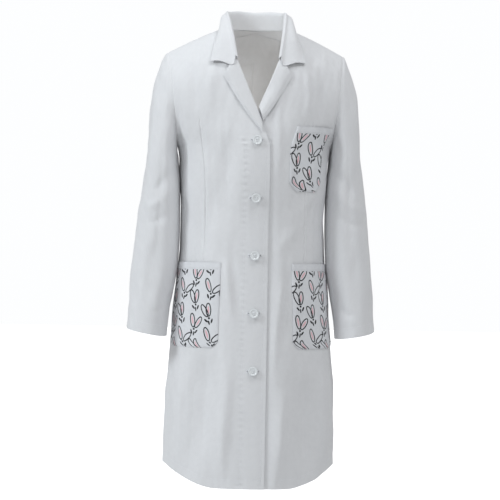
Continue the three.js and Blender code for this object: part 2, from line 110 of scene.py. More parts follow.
for light_name, place, size, watts, colour in [
    ("main light", (-3.3, -1.5, 1.8), 1.0, 72, (0.9, 0.96, 1.0)),
    ("top light", (0.6, -1.1, 2.1), 0.9, 26, (0.94, 0.97, 1.0)),
    ("neck light", (0, -0.04, -0.16), 0.05, 0.2, (1.0, 0.96, 0.88)),
]:
    kind = "POINT" if light_name == "neck light" else "AREA"
    light_data = bpy.data.lights.new(light_name, kind)
    if kind == "AREA":
        light_data.size = size
    else:
        light_data.shadow_soft_size = size
    light_data.energy = watts
    light_data.color = colour
    light = bpy.data.objects.new(light_name, light_data)
    light.location = place
    towards = Vector((0, 0, -0.45)) - Vector(place)
    light.rotation_euler = towards.to_track_quat("-Z", "Y").to_euler()
    bpy.context.scene.collection.objects.link(light)

# Fronts and backs. Four panels of white cotton and polyester twill, sewn at the shoulders, the
# sides and the middle of the back. The right front lies over the left one. Each front has a dart
# from the bust to the hip pocket. Places on them are (x, drop) in millimetres.
MM = 0.001
CLOTH = 0.9
NECK = 62
NECK_RISE = 28
SHOULDER = 190
SHOULDER_DROP = 58
RIDGE_Y = 5
CHEST = 166
WAIST = 156
HEM_WIDTH = 186
ARMPIT = 262
OVERLAP = 28
UNDERLAP = 3.2
HEM_DROP = 988
HEM_RISE = 44
HEM_LEVEL = 0.42  # the hem hangs level over this share of the half width


def cubic(start, end, leave, arrive, t):
    """A curve from start to end that leaves and arrives at given slopes."""
    ends = start * (2 * t**3 - 3 * t**2 + 1) + end * (3 * t**2 - 2 * t**3)
    return ends + leave * (t**3 - 2 * t**2 + t) + arrive * (t**3 - t**2)


def through(table):
    """A smooth curve through pairs of drop and value."""
    x, y = np.array(table, float).T
    first = np.r_[0, np.arange(len(x) - 1)]
    last = np.r_[np.arange(1, len(x)), len(x) - 1]
    slope = (y[last] - y[first]) / (x[last] - x[first])

    def value(at):
        at = np.asarray(at, float)
        i = np.clip(np.searchsorted(x, at, side="right") - 1, 0, len(x) - 2)
        span = x[i + 1] - x[i]
        t = np.clip((at - x[i]) / span, 0, 1)
        return cubic(y[i], y[i + 1], span * slope[i], span * slope[i + 1], t)

    return value


def spline(points):
    """A smooth curve through points, for shares of its length from 0 to 1."""
    p = np.array(points, float)

    def at(share):
        share = np.clip(np.asarray(share, float), 0, 1) * (len(p) - 1)
        i = np.clip(np.floor(share).astype(int), 0, len(p) - 2)
        t = (share - i)[..., None]
        before, start, end = p[np.maximum(i - 1, 0)], p[i], p[i + 1]
        after = p[np.minimum(i + 2, len(p) - 1)]
        return cubic(start, end, (end - before) / 2, (after - start) / 2, t)

    return at


def smooth(t):
    t = np.clip(t, 0, 1)
    return t * t * (3 - 2 * t)


def hump(distance, width):
    return np.exp(-((distance / width) ** 2))


def quarter_round(t):
    return np.sqrt(1 - (1 - np.clip(t, 0, 1)) ** 2)


half_width = through(
    [
        (-60, CHEST + 74), (58, CHEST + 74), (110, CHEST + 70), (170, CHEST + 56),
        (225, CHEST + 24), (262, CHEST), (330, WAIST + 4), (430, WAIST), (527, WAIST + 4),
        (600, WAIST + 11), (700, HEM_WIDTH - 12), (800, HEM_WIDTH - 4), (990, HEM_WIDTH),
    ]
)
front_depth = through(
    [
        (-60, 90), (0, 95), (58, 108), (110, 118), (170, 127), (225, 134), (262, 137), (330, 136),
        (430, 126), (600, 128), (700, 131), (800, 135), (990, 142),
    ]
)
back_depth = through(
    [
        (-60, 76), (0, 80), (58, 95), (110, 106), (170, 114), (225, 116), (262, 115), (330, 110),
        (430, 102), (600, 124), (700, 130), (800, 133), (990, 140),
    ]
)


def shoulder_drop(x):
    out = (np.abs(x) - NECK) / (SHOULDER - NECK)
    return np.where(
        out > 0, SHOULDER_DROP * np.maximum(out, 0) ** 1.2, -NECK_RISE * (1 - (x / NECK) ** 2)
    )


def angle_at(x, drop):
    return np.arcsin(np.clip(x / half_width(drop), -1, 1))


def body_form(angle, drop, back=False):
    """The coat's outer surface, in millimetres."""
    angle, drop = np.broadcast_arrays(np.asarray(angle, float), np.asarray(drop, float))
    x = half_width(drop) * np.sin(angle)
    side = 1 if back else -1
    depth = side * (back_depth(drop) if back else front_depth(drop))
    reach = quarter_round((drop - shoulder_drop(x)) / (95 if back else 115))
    return np.stack([x, RIDGE_Y + (depth * np.cos(angle) - RIDGE_Y) * reach, -drop], -1)


def hem_drop(angle):
    out = (np.abs(np.sin(angle)) - HEM_LEVEL) / (1 - HEM_LEVEL)
    return HEM_DROP - HEM_RISE * np.clip(out, 0, 1) ** 1.6


def armhole_x(drop):
    return SHOULDER + (CHEST - SHOULDER) * (drop - SHOULDER_DROP) / (ARMPIT - SHOULDER_DROP)


def armhole_drop(share):
    return SHOULDER_DROP + (ARMPIT - SHOULDER_DROP) * (1 - np.cos(np.pi * share)) / 2


def between(top, bottom, left, right, u, v):
    """A net of [angle, drop] between four edge curves, for every u across and v down."""
    t, b = top(u)[None], bottom(u)[None]
    l, r = left(v)[:, None], right(v)[:, None]
    u, v = u[None, :, None], v[:, None, None]
    top_corners = (1 - u) * t[:, :1] + u * t[:, -1:]
    bottom_corners = (1 - u) * b[:, :1] + u * b[:, -1:]
    corners = (1 - v) * top_corners + v * bottom_corners
    return (1 - v) * t + v * b + (1 - u) * l + u * r - corners


ARMHOLE_SHARE = 0.34
roll_line = spline(
    [(NECK, 0), (54, 38), (46, 78), (25, 132), (2, 188), (-15, 228), (1 - OVERLAP, ARMPIT)]
)


def side_edge(v):
    high = armhole_drop(v / ARMHOLE_SHARE)
    low = ARMPIT + (hem_drop(math.pi / 2) - ARMPIT) * (v - ARMHOLE_SHARE) / (1 - ARMHOLE_SHARE)
    drop = np.where(v < ARMHOLE_SHARE, high, low)
    arm = angle_at(armhole_x(drop), drop)
    return np.stack([np.where(v < ARMHOLE_SHARE, arm, math.pi / 2), drop], -1)


def closing_edge(v):
    rolled = roll_line(v / ARMHOLE_SHARE)
    low = ARMPIT + (HEM_DROP - ARMPIT) * (v - ARMHOLE_SHARE) / (1 - ARMHOLE_SHARE)
    x = np.where(v < ARMHOLE_SHARE, rolled[:, 0], 1 - OVERLAP - smooth((low - ARMPIT) / 60))
    drop = np.where(v < ARMHOLE_SHARE, rolled[:, 1], low)
    return np.stack([angle_at(x, drop), drop], -1)


def shoulder_edge(u):
    x = NECK + (SHOULDER - NECK) * u
    drop = shoulder_drop(x)
    return np.stack([angle_at(x, drop), drop], -1)


def front_hem_edge(u):
    start = angle_at(-OVERLAP, HEM_DROP)
    angle = start + (math.pi / 2 - start) * u
    return np.stack([angle, hem_drop(angle)], -1)


def left_front_form(u, v):
    net = between(shoulder_edge, front_hem_edge, closing_edge, side_edge, u, v)
    return body_form(net[..., 0], net[..., 1])


def back_top_edge(u):
    neck_share = 0.3
    neck = NECK * u / neck_share
    out = shoulder_edge((u - neck_share) / (1 - neck_share))
    curve = np.stack([angle_at(neck, 0 * u), 0 * u], -1)
    return np.where((u < neck_share)[:, None], curve, out)


def back_hem_edge(u):
    angle = math.pi / 2 * u
    return np.stack([angle, hem_drop(angle)], -1)


def middle_back_edge(v):
    drop = HEM_DROP * v
    return np.stack([0 * drop, drop], -1)


def left_back_form(u, v):
    net = between(back_top_edge, back_hem_edge, middle_back_edge, side_edge, u, v)
    return body_form(net[..., 0], net[..., 1], back=True)


def mirrored(net):
    """The same net on the other half of the coat."""
    return (net * (-1, 1, 1))[:, ::-1]


def unit(arrows):
    """The same directions, each of length 1."""
    return arrows / np.maximum(np.linalg.norm(arrows, axis=-1, keepdims=True), 1e-9)


def facing_out(points):
    """Unit normals of a net of points whose columns run to the right and rows run down."""
    across = np.gradient(points, axis=1)
    down = np.gradient(points, axis=0)
    return unit(np.cross(down, across))


def fold(points, path, width, height, fade=0.42):
    """How far a soft fold along a path of (x, drop) stands out at each point."""
    line = spline(path)(np.linspace(0, 1, 16))
    flat = points[..., [0, 2]] * (1, -1)
    nearest = np.full(flat.shape[:-1], 1e9)
    along = np.zeros(flat.shape[:-1])
    for k, (a, b) in enumerate(zip(line[:-1], line[1:])):
        step = b - a
        t = np.clip(((flat - a) @ step) / (step @ step), 0, 1)
        away = np.linalg.norm(flat - a - t[..., None] * step, axis=-1)
        along = np.where(away < nearest, (k + t) / 15, along)
        nearest = np.minimum(away, nearest)
    ends = smooth(along / fade) * smooth((1 - along) / fade)
    return height * ends * hump(nearest, width)


def ripple(points, seed, height, lengths=(45, 150), waves=26, upright=0.3):
    """Slight unevenness of cloth that has been worn and pressed."""
    chance = np.random.default_rng(seed)
    total = np.zeros(points.shape[:-1])
    for _ in range(waves):
        heading = chance.normal(size=3) * (1, 1, upright)
        heading *= 2 * math.pi / (np.linalg.norm(heading) * chance.uniform(*lengths))
        total += np.sin(points @ heading + chance.uniform(0, 2 * math.pi))
    return height * total / math.sqrt(waves / 2)


def pick(piece):
    bpy.ops.object.select_all(action="DESELECT")
    piece.select_set(True)
    bpy.context.view_layer.objects.active = piece


def worked(piece, kind, **settings):
    """Put a modifier on a piece and apply it."""
    modifier = piece.modifiers.new(kind.lower(), kind)
    for setting, value in settings.items():
        setattr(modifier, setting, value)
    pick(piece)
    bpy.ops.object.modifier_apply(modifier=modifier.name)


def new_piece(name, vertices, faces, material):
    mesh = bpy.data.meshes.new(name)
    mesh.from_pydata((vertices * MM).tolist(), [], faces)
    mesh.materials.append(material)
    piece = bpy.data.objects.new(name, mesh)
    bpy.context.scene.collection.objects.link(piece)
    return piece


def sheet(name, points, material, thickness=CLOTH, ring=False, inward=0.0):
    """A piece of cloth from a net of points in millimetres. It gets its thickness on the inside
    and a UV map in metres."""
    rows, columns = points.shape[:2]
    if inward:
        points = points - facing_out(points) * inward
    net = points[:, :-1] if ring else points
    across = net.shape[1]
    index = np.arange(rows * across).reshape(rows, across)
    if ring:
        index = np.hstack([index, index[:, :1]])
    # Corners run so that each face points out.
    faces = np.stack([index[:-1, :-1], index[1:, :-1], index[1:, 1:], index[:-1, 1:]], -1)
    piece = new_piece(name, net.reshape(-1, 3), faces.reshape(-1, 4).tolist(), material)
    run = np.cumsum(np.linalg.norm(np.diff(points, axis=1, prepend=points[:, :1]), axis=-1), axis=1)
    fall = np.cumsum(np.linalg.norm(np.diff(points, axis=0, prepend=points[:1]), axis=-1), axis=0)
    place = np.stack([run, -fall], -1) * MM
    corners = np.stack([place[:-1, :-1], place[1:, :-1], place[1:, 1:], place[:-1, 1:]], -2)
    piece.data.uv_layers.new(name="cut").data.foreach_set("uv", corners.reshape(-1))
    piece.data.validate()
    worked(piece, "SOLIDIFY", thickness=thickness * MM, offset=-1)
    bpy.ops.object.shade_smooth_by_angle(angle=math.radians(50))
    return piece


def add_group(name, inputs, outputs):
    """An empty shader group with its sockets, and its input and output nodes."""
    group = bpy.data.node_groups.new(name, "ShaderNodeTree")
    for socket, kind, value in inputs:
        made = group.interface.new_socket(socket, in_out="INPUT", socket_type=kind)
        if value is not None:
            made.default_value = value
    for socket, kind in outputs:
        group.interface.new_socket(socket, in_out="OUTPUT", socket_type=kind)
    return group, group.nodes.new("NodeGroupInput"), group.nodes.new("NodeGroupOutput")


def maths(tree, operation, *values, clamp=False):
    """A Math node with sockets or numbers put into it; gives its output."""
    node = tree.nodes.new("ShaderNodeMath")
    node.operation = operation
    node.use_clamp = clamp
    for socket, value in zip(node.inputs, values):
        if isinstance(value, (int, float)):
            socket.default_value = value
        else:
            tree.links.new(value, socket)
    return node.outputs[0]


# Twill: warp threads cross over two weft threads and under one, which draws fine slanting ribs.
twill, into, out = add_group(
    "twill weave",
    [("Place", "NodeSocketVector", None), ("Rib", "NodeSocketFloat", 0.0011)],
    [("Height", "NodeSocketFloat"), ("Shade", "NodeSocketFloat")],
)
split = add_node(twill, "SeparateXYZ")
twill.links.new(into.outputs["Place"], split.inputs[0])
in_twill = partial(maths, twill)
slant = in_twill("ADD", split.outputs["X"], split.outputs["Y"])
turns = in_twill("DIVIDE", slant, into.outputs["Rib"])
rib = in_twill("SINE", in_twill("MULTIPLY", turns, 2 * math.pi))
warp_turns = in_twill("DIVIDE", split.outputs["X"], into.outputs["Rib"])
warp = in_twill("SINE", in_twill("MULTIPLY", warp_turns, 4 * math.pi))
woven = in_twill("ADD", in_twill("MULTIPLY", rib, 0.35), in_twill("MULTIPLY", warp, 0.15))
twill.links.new(woven, out.inputs["Height"])
slub = add_node(twill, "TexNoise", Scale=90, Detail=4)
twill.links.new(into.outputs["Place"], slub.inputs["Vector"])
twill.links.new(slub.outputs["Fac"], out.inputs["Shade"])


def mixed(tree, first, second, factor):
    """A mix of two colours, each a colour or a socket; gives its output."""
    mix = add_node(tree, "Mix")
    mix.data_type = "RGBA"
    for socket, value in (("A", first), ("B", second), ("Factor", factor)):
        if isinstance(value, tuple):
            mix.inputs[socket].default_value = (*value, 1)
        else:
            tree.links.new(value, mix.inputs[socket])
    return mix.outputs["Result"]


def cloth_material(name, light, dark):
    """White twill between two close tones, with its weave in relief; gives its tone as well."""
    material, tree, shader = new_material(name, light, 0.88)
    place = add_node(tree, "UVMap")
    place.uv_map = "cut"
    weave = add_node(tree, "Group")
    weave.node_tree = twill
    tree.links.new(place.outputs[0], weave.inputs["Place"])
    tone = mixed(tree, dark, light, weave.outputs["Shade"])
    tree.links.new(tone, shader.inputs["Base Color"])
    relief = add_node(tree, "Bump", Strength=0.35, Distance=0.0004)
    tree.links.new(weave.outputs["Height"], relief.inputs["Height"])
    tree.links.new(relief.outputs["Normal"], shader.inputs["Normal"])
    shader.inputs["Sheen Weight"].default_value = 0.25
    shader.inputs["Sheen Roughness"].default_value = 0.5
    return material, tone


white_twill, _ = cloth_material("white twill", (0.80, 0.805, 0.82), (0.745, 0.75, 0.765))


def finer_near(ends, count, near=6, step=0.0035):
    """Even shares from 0 to 1, with extra ones close to the ends asked for."""
    shares = set(np.linspace(0, 1, count).round(6).tolist())
    for k in range(1, near):
        if "start" in ends:
            shares.add(round(k * step, 6))
        if "end" in ends:
            shares.add(round(1 - k * step, 6))
    return np.array(sorted(shares))


across_front = np.union1d(finer_near(("start", "end"), 80), np.linspace(0.505, 0.665, 46))
down_front = finer_near(("end",), 256, near=8, step=0.0016)
across_back = finer_near(("start", "end"), 76)
down_back = np.linspace(0, 1, 236)

DART = [(122, 208), (107, 345), (106, 512)]
FRONT_FOLDS = [
    ([(-62, 230), (-66, 330), (-60, 450)], 26, -5),
    ([(-64, 495), (-52, 570), (-38, 660)], 10, 4.5),
    ([(-48, 490), (-36, 560), (-32, 620)], 8, -3),
    ([(-48, 690), (-56, 840), (-66, 985)], 14, 6),
    ([(-100, 700), (-108, 800), (-118, 960)], 24, -8),
    ([(-150, 700), (-156, 850), (-160, 960)], 14, 5),
    ([(-90, 90), (-100, 150), (-98, 215)], 12, 2.5),
    ([(-140, 80), (-134, 150), (-128, 220)], 9, -2.5),
    ([(138, 352), (104, 392), (66, 432)], 12, 1.8),
    ([(128, 395), (84, 440), (44, 495)], 12, 1.6),
    ([(60, 530), (47, 650), (38, 780)], 12, 5),
    ([(76, 520), (66, 610), (58, 700)], 9, -4),
    ([(66, 770), (60, 870), (50, 985)], 13, 6),
    ([(112, 740), (118, 850), (122, 970)], 22, -8),
    ([(150, 720), (156, 850), (158, 960)], 14, 5),
    ([(104, 100), (112, 150), (108, 210)], 10, 2.5),
    ([(150, 90), (140, 160), (136, 215)], 9, -2.5),
]
BACK_FOLDS = [
    ([(70, 560), (78, 760), (90, 985)], 20, 7),
    ([(26, 600), (28, 780), (34, 985)], 16, -6),
    ([(130, 600), (134, 800), (140, 970)], 16, -6),
    ([(-66, 580), (-80, 760), (-84, 985)], 20, 7),
    ([(-26, 620), (-30, 780), (-30, 985)], 16, -5),
    ([(-128, 600), (-136, 800), (-138, 970)], 16, -6),
    ([(110, 70), (104, 150), (96, 260)], 14, 3),
    ([(-108, 70), (-106, 150), (-94, 260)], 14, 3),
    ([(60, 330), (66, 420), (60, 520)], 22, -4),
    ([(-60, 330), (-66, 420), (-58, 520)], 22, -4),
]
FOLD_STRENGTH = 1.35


def unevenness(form, back=False):
    """How far the cloth stands off its plain form. It goes by place, so layers agree."""
    drop, side = -form[..., 2], np.abs(form[..., 0])
    lift = ripple(form, 3, 1.3) + ripple(form, 4, 0.4, lengths=(15, 40), upright=0.14)
    folds = BACK_FOLDS if back else FRONT_FOLDS
    lift = lift + FOLD_STRENGTH * sum(fold(form, *shape) for shape in folds)
    lift = lift * smooth((drop - shoulder_drop(form[..., 0])) / 60) * smooth(drop / 50)
    if not back:
        lift = lift * (0.2 + 0.8 * smooth((side - 24) / 40))
    return lift


def run_from(net, axis, last=False):
    """Distance over the cloth from one edge of a net."""
    steps = np.linalg.norm(np.diff(net, axis=axis, prepend=net.take([0], axis)), axis=-1)
    run = np.cumsum(steps, axis)
    return run.take([-1], axis) - run if last else run


def puckered(run, along, away, height, wave=13.0):
    """Small puckers where a line of stitches draws the cloth in."""
    turn = along * 2 * math.pi / wave + 2 * np.sin(along / 37)
    return hump(run - away, 6) * (height * np.sin(turn) - 0.3)


def sewn(form, side_last, back=False, dart=None, facing_pucker=0.0):
    """A panel with its unevenness, the dips along its seams and the pull of its stitches."""
    drop = -form[..., 2]
    to_side, to_hem = run_from(form, 1, last=side_last), run_from(form, 0, last=True)
    from_middle = run_from(form, 1, last=not side_last)
    lift = unevenness(form, back) * np.where(drop < ARMPIT + 20, smooth(to_side / 14), 1)
    lift += 0.35 * hump(to_side - 6, 4) - 0.6 * hump(to_side, 1.8)
    lift += puckered(to_hem, form[..., 0], 20, 0.35)
    if back:
        lift -= 0.8 * hump(from_middle, 1.8)
    else:
        low = smooth((drop - 236) / 20)
        lift += fold(form, dart, 1.5, -2.0, fade=0.04) + fold(form, dart, 5, 1.2, fade=0.08)
        lift += low * puckered(from_middle, drop, 10, 0.25) * smooth((from_middle - 2) / 3)
        lift += low * puckered(from_middle, drop, 52, facing_pucker)
    return form + facing_out(form) * lift[..., None]


def stepped_in(points, share=1.0):
    """The left front steps inwards where it runs under the right one."""
    near = smooth((OVERLAP + 22 - points[..., 0]) / 22) * share
    return points + (near * smooth((-points[..., 2] - 110) / 45) * UNDERLAP)[..., None] * (0, 1, 0)


left_front_net = left_front_form(across_front, down_front)
left_back_net = left_back_form(across_back, down_back)
nets = {
    "right_front": sewn(
        mirrored(left_front_net), False, dart=[(-x, drop) for x, drop in DART], facing_pucker=0.8
    ),
    "left_front": stepped_in(sewn(left_front_net, True, dart=DART, facing_pucker=0.4)),
    "right_back": sewn(left_back_net * (-1, 1, 1), True, back=True),
    "left_back": sewn(left_back_net[:, ::-1], False, back=True),
}
pieces = {name: sheet(f"cloth_{name}", net, white_twill) for name, net in nets.items()}

# Buttonholes are cut through the right front; the slit stands a little open round each shank.
BUTTON_DROPS = [252 + 122 * i for i in range(5)]
SLIT = (24, 12, 2.8)
for drop in BUTTON_DROPS:
    bpy.ops.object.select_all(action="DESELECT")
    bpy.ops.mesh.primitive_cube_add(size=1, location=(0, body_form(0, drop)[1] * MM, -drop * MM))
    slit = bpy.context.object
    slit.scale = [size * MM for size in SLIT]
    bpy.ops.object.transform_apply(location=True, rotation=True, scale=True)
    worked(pieces["right_front"], "BOOLEAN", object=slit, solver="EXACT")
    bpy.data.objects.remove(slit)

# Facings and hems. The fronts' edges are backed by a second layer, as is the back's neck, and the
# lower edges are turned up inside. All are the same twill.
HEM_TURN = 22
FACING_WIDTH = 62
BACK_FACING_DEPTH = 62
LAYER = 1.4


def inner_part(name, net, node):
    """A second layer inside a panel, on a part of the panel's own net."""
    piece = sheet(name, net, white_twill, inward=LAYER)
    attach(piece, "coat_body")
    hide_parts(node)
    return piece


backing = {name: [] for name in nets}
for name, net in nets.items():
    middle = net.shape[0] // 2
    low_rows = np.where(run_from(net, 0, last=True)[:, net.shape[1] // 2] < HEM_TURN)[0][:-1]
    columns = np.arange(1, net.shape[1] - 1)
    if "front" in name:
        from_middle = run_from(net, 1, last=name == "right_front")[middle]
        facing_columns = np.where((from_middle < FACING_WIDTH) & (from_middle > 0.6))[0]
        hem_columns = np.array([c for c in columns if from_middle[c] > FACING_WIDTH + 3])
        facing = net[14:-1][:, facing_columns]
        backing[name].append(inner_part(f"facing_{name}", facing, f"{name}_facing"))
    else:
        hem_columns = columns
    hem = net[low_rows][:, hem_columns]
    backing[name].append(inner_part(f"hem_{name}", hem, f"{name}_hem"))

across, down = np.meshgrid(np.linspace(-1, 1, 60), np.linspace(0, 1, 30))
facing_x = across * (NECK - 6)
facing_top = 4 + 16 * np.abs(facing_x) / NECK
facing_drop = facing_top + BACK_FACING_DEPTH * down
neck_net = body_form(angle_at(-facing_x, facing_drop), facing_drop, back=True)
neck_net += facing_out(neck_net) * unevenness(neck_net, back=True)[..., None]
backing["left_back"].append(inner_part("facing_back_neck", neck_net, "back_neck_facing"))

# Stitching. White polyester thread, one short stitch after another, along every folded edge: the
# closing edge, the facing, the hems, the cuffs, the collar, the lapels and the pockets.
STITCH_PITCH = 3.3
STITCH_LENGTH = 2.7
THREAD = 0.42


def line_on(net, away, axis=1, last=False, span=(0, 1)):
    """A line on a net at a distance from one edge, with the way out of the cloth along it."""
    out = facing_out(net)
    if axis == 0:
        net, out = net.swapaxes(0, 1), out.swapaxes(0, 1)
    if last:
        net, out = net[:, ::-1], out[:, ::-1]
    run = run_from(net, 1)
    first, end = int(span[0] * (len(net) - 1)), int(span[1] * (len(net) - 1)) + 1
    line, up = [], []
    for r in range(first, end):
        place = np.interp(away, run[r], np.arange(net.shape[1]))
        i = min(int(place), net.shape[1] - 2)
        t = place - i
        line.append(net[r, i] * (1 - t) + net[r, i + 1] * t)
        up.append(out[r, i] * (1 - t) + out[r, i + 1] * t)
    return np.array(line), np.array(up)


white_thread, tree, shader = new_material("white thread", (0.86, 0.87, 0.9), 0.6)
place = add_node(tree, "TexCoord")
twist = add_node(tree, "TexWave", Scale=900, Distortion=2)
relief = add_node(tree, "Bump", Strength=0.3, Distance=0.0001)
tree.links.new(place.outputs["Object"], twist.inputs["Vector"])
tree.links.new(twist.outputs["Fac"], relief.inputs["Height"])
tree.links.new(relief.outputs["Normal"], shader.inputs["Normal"])
shader.inputs["Sheen Weight"].default_value = 0.3


def stitches(
    name, lines, body="coat_body", pitch=STITCH_PITCH, length=STITCH_LENGTH, width=THREAD
):
    """Rows of stitches along lines, each a slim lens of thread that dips into the cloth."""
    vertices, faces = [], []
    around = [(1.3, 0), (0, 1), (-1.3, 0), (0, -1)]
    for line, up in lines:
        run = np.r_[0, np.cumsum(np.linalg.norm(np.diff(line, axis=0), axis=1))]
        starts = np.arange(1.5, run[-1] - length, pitch)
        at = starts[:, None] + np.array([0, 0.2, 0.5, 0.8, 1]) * length
        centre = np.stack([np.interp(at, run, line[:, k]) for k in range(3)], -1)
        out = np.stack([np.interp(at, run, up[:, k]) for k in range(3)], -1)
        side = np.cross(out, unit(centre[:, -1:] - centre[:, :1]))
        centre = centre + out * np.array([-0.3, 0.08, 0.2, 0.08, -0.3])[None, :, None]
        for s in range(len(starts)):
            base = len(vertices)
            vertices.append(centre[s, 0])
            for k in (1, 2, 3):
                for a, b in around:
                    vertices.append(centre[s, k] + (side[s, k] * a + out[s, k] * b) * width / 2)
            vertices.append(centre[s, 4])
            for a in range(4):
                b = (a + 1) % 4
                faces.append((base, base + 1 + b, base + 1 + a))
                for k in (0, 4):
                    low = base + 1 + k
                    faces.append((low + a, low + b, low + 4 + b, low + 4 + a))
                faces.append((base + 9 + a, base + 9 + b, base + 13))
    piece = new_piece(name, np.array(vertices), faces, white_thread)
    piece.data.shade_smooth()
    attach(piece, body)
    return piece


HEM_LINE = 20
EDGE_LINE = 9
FACING_LINE = 52
lines = {
    name: [line_on(net, HEM_LINE, axis=0, last=True, span=(0.18 if name == "left_front" else 0, 1))]
    for name, net in nets.items()
}
lines["left_front"] += [line_on(nets["left_front"], FACING_LINE, span=(0.3, 0.985))]
lines["right_front"] += [
    line_on(nets["right_front"], EDGE_LINE, last=True, span=(0.35, 1)),
    line_on(nets["right_front"], FACING_LINE, last=True, span=(0.3, 0.985)),
]
seams = {name: stitches(f"stitches_{name}", rows) for name, rows in lines.items()}
for name, piece in pieces.items():
    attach(piece, "coat_body")
    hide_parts(name)

# Sleeves. One piece of twill each, sewn into the armhole and closed under the arm, with a cuff
# turned up inside and stitched. Its top follows the armhole on the coat's form and turns gradually
# into the round of the sleeve.
SLEEVE_HEAD = 90
CUFF_DROP = 664
CUFF_TURN = 24
sleeve_middle_x = through(
    [
        (58, SHOULDER - 10), (137, CHEST + 26), (267, CHEST + 34), (332, CHEST + 37),
        (462, CHEST + 44), (592, CHEST + 53), (680, CHEST + 61),
    ]
)
sleeve_half_width = through(
    [(58, 26), (137, 28), (267, 30), (332, 36), (462, 44), (592, 45), (680, 44)]
)
sleeve_middle_y = through([(58, 2), (267, 0), (462, -8), (592, -22), (680, -34)])
sleeve_half_depth = through(
    [(58, 66), (200, 78), (267, 78), (332, 74), (462, 64), (592, 52), (680, 47)]
)
FRONT_SLEEVE_FOLDS = [
    ([(196, 110), (206, 190), (200, 290)], 10, -3.5),
    ([(216, 130), (224, 230), (218, 330)], 9, 3),
    ([(172, 300), (196, 340), (222, 366)], 8, -3),
    ([(176, 340), (204, 384), (236, 402)], 9, 3),
    ([(178, 400), (206, 424), (238, 428)], 8, -2.5),
    ([(214, 460), (222, 540), (224, 640)], 12, -3),
    ([(196, 520), (206, 590), (212, 655)], 10, 2.5),
    ([(188, 600), (204, 618), (222, 622)], 7, -1.8),
]
BACK_SLEEVE_FOLDS = [
    ([(176, 320), (200, 352), (234, 360)], 9, -3.5),
    ([(176, 364), (204, 398), (240, 400)], 9, 3),
    ([(180, 410), (208, 436), (244, 440)], 9, -3),
    ([(204, 120), (214, 220), (210, 300)], 11, 3),
    ([(214, 480), (222, 560), (226, 645)], 12, -3),
]


def sleeve_form(u, v):
    """The left sleeve: u runs from its outer side over the front, v from the armhole down."""
    u, v = u[None], v[:, None]
    turn = 2 * math.pi * u
    head = armhole_drop(np.where(u < 0.5, 2 * u, 2 - 2 * u))
    angle = angle_at(armhole_x(head), head)
    start = np.where((u > 0.5)[..., None], body_form(angle, head, True), body_form(angle, head))
    drop = head + (CUFF_DROP - 8 * np.cos(turn) + 3 * np.sin(turn) - head) * v
    x = sleeve_middle_x(drop) + sleeve_half_width(drop) * np.cos(turn)
    y = sleeve_middle_y(drop) - sleeve_half_depth(drop) * np.sin(turn)
    eased = quarter_round((drop - head) / SLEEVE_HEAD)
    x = (start[..., 0] - 0.3) * (1 - eased) + x * eased
    return np.stack([x, start[..., 1] * (1 - eased) + y * eased, -drop], -1)


def sleeve_laid(form, seed):
    """The sleeve with folds at the armhole, the elbow and the cuff."""
    out = facing_out(form)
    front = smooth(0.5 - 1.2 * out[..., 1])
    front_lift = sum(fold(form, *shape) for shape in FRONT_SLEEVE_FOLDS)
    back_lift = sum(fold(form, *shape) for shape in BACK_SLEEVE_FOLDS)
    lift = ripple(form, seed, 1.1, lengths=(40, 130))
    lift += ripple(form, seed + 1, 0.3, lengths=(16, 42))
    drop = -form[..., 2]
    # Towards the body the sleeve is fuller below the armpit, so that it lies close to the side.
    inner = smooth(-1.5 * out[..., 0] - 0.05) * (3.6 + 4.6 * smooth((drop - ARMPIT) / 100))
    inner = inner * (1 - smooth((drop - 510) / 110))
    lift = lift * (1 - 0.1 * inner) + front * front_lift + (1 - front) * back_lift + inner
    start = run_from(form, 0)
    lift = lift * smooth(start / 26)
    lift += 0.5 * hump(start - 5, 4) - 0.5 * hump(start, 1.6)
    spare = np.arctan2(form[..., 1], form[..., 0] - form[..., 0].mean()) * 50
    lift += puckered(run_from(form, 0, last=True), spare, CUFF_TURN, 0.3, wave=14)
    return form + out * lift[..., None]


round_sleeve = np.linspace(0, 1, 97)
down_sleeve = np.r_[0, 0.003, 0.006, 0.01, np.linspace(0.015, 1, 170)]
left_sleeve_net = sleeve_form(round_sleeve, down_sleeve)[:, ::-1]
for side, way in [("right", -1), ("left", 1)]:
    net = sleeve_laid(left_sleeve_net, 40 + way)
    if side == "right":
        net = mirrored(net)
    piece = sheet(f"cloth_{side}_sleeve", net, white_twill, ring=True)
    low_rows = np.where(run_from(net, 0, last=True)[:, 30] < CUFF_TURN)[0][:-1]
    turned = sheet(f"hem_{side}_cuff", net[low_rows], white_twill, ring=True, inward=LAYER)
    cuff_line = line_on(net, CUFF_TURN - 1.5, axis=0, last=True)
    cuff_stitches = stitches(f"stitches_{side}_cuff", [cuff_line], body=f"{side}_sleeve")
    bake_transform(piece)
    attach(turned, f"{side}_sleeve")
    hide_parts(f"{side}_sleeve")
    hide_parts(f"{side}_cuff_hem")

# Collar. Two layers of twill over interfacing: the under collar stands up from the neck seam, and
# both layers roll over and lie back on the shoulders.
STAND_HEIGHT = 37
COLLAR_ROLL = 4
COLLAR_BELLY = 5
COLLAR_STATIONS = [  # seam x, drop, on the back; up and out to the roll; edge x, drop
    ((46.5, 79, 0), 3, 6, (99, 88)), ((53, 40, 0), 14, 6, (91, 50)), ((60, 7, 0), 26, 2, (80, 17)),
    ((61.5, 0.3, 0), 31, 1.5, (77, 6.8)), ((57, 1, 1), 35, 2, (70, 10)),
    ((34, 0, 1), 38, 3, (42, 12)), ((0, 0, 1), STAND_HEIGHT, 3, (0, 13)),
]


